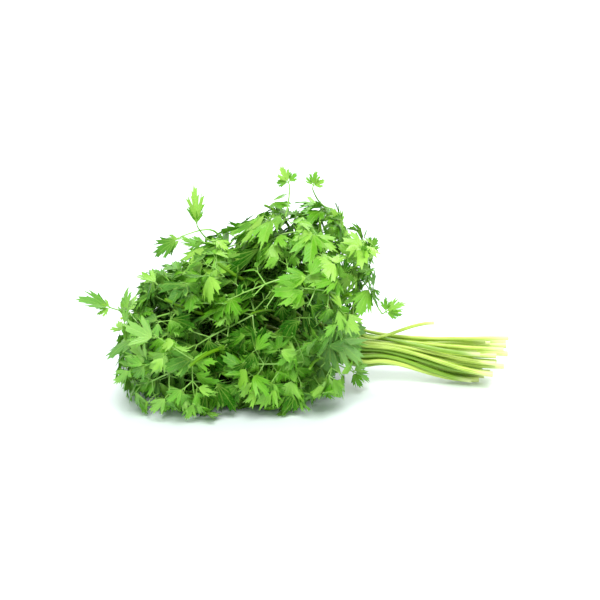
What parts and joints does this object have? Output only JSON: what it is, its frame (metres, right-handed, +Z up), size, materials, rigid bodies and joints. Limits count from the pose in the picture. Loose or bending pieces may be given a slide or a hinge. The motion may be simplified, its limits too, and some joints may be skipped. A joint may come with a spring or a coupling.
{
  "type": "parsley bunch",
  "caption": "Loose bunch of cut flat-leaf parsley lying on its side, bare stems gathered at a neck and the leaves spread in a mound.",
  "frame": {"origin": "on the surface that the bunch lies on, under the middle of its outline", "axes": "+X runs along the stems from the leaves to the cut ends, -Y is the front and +Z is up"},
  "size_m": [0.287, 0.1644, 0.1482],
  "materials": {
    "stems": "smooth, waxy, pale yellow-green plant stem",
    "leaves": "fresh green leaf, slightly glossy on top and paler underneath"
  },
  "bodies": {
    "root": {"stem_01": "stems", "leaf_01": "leaves", "stem_02": "stems", "leaf_02": "leaves", "stem_03": "stems", "leaf_03": "leaves", "stem_04": "stems", "leaf_04": "leaves", "stem_05": "stems", "leaf_05": "leaves", "stem_06": "stems", "leaf_06": "leaves", "stem_07": "stems", "leaf_07": "leaves", "stem_08": "stems", "leaf_08": "leaves", "stem_09": "stems", "leaf_09": "leaves", "stem_10": "stems", "leaf_10": "leaves", "stem_11": "stems", "leaf_11": "leaves", "stem_12": "stems", "leaf_12": "leaves", "stem_13": "stems", "leaf_13": "leaves", "stem_14": "stems", "leaf_14": "leaves", "stem_15": "stems", "leaf_15": "leaves", "stem_16": "stems", "leaf_16": "leaves", "stem_17": "stems", "leaf_17": "leaves", "stem_18": "stems", "leaf_18": "leaves", "stem_19": "stems", "leaf_19": "leaves", "stem_20": "stems", "leaf_20": "leaves", "stem_21": "stems", "leaf_21": "leaves", "stem_22": "stems", "leaf_22": "leaves", "stem_23": "stems", "leaf_23": "leaves", "stem_24": "stems", "leaf_24": "leaves", "stem_25": "stems", "leaf_25": "leaves", "stem_26": "stems", "leaf_26": "leaves", "stem_27": "stems", "leaf_27": "leaves", "stem_28": "stems", "leaf_28": "leaves", "stem_29": "stems", "leaf_29": "leaves", "stem_30": "stems", "leaf_30": "leaves"}
  },
  "joints": []
}
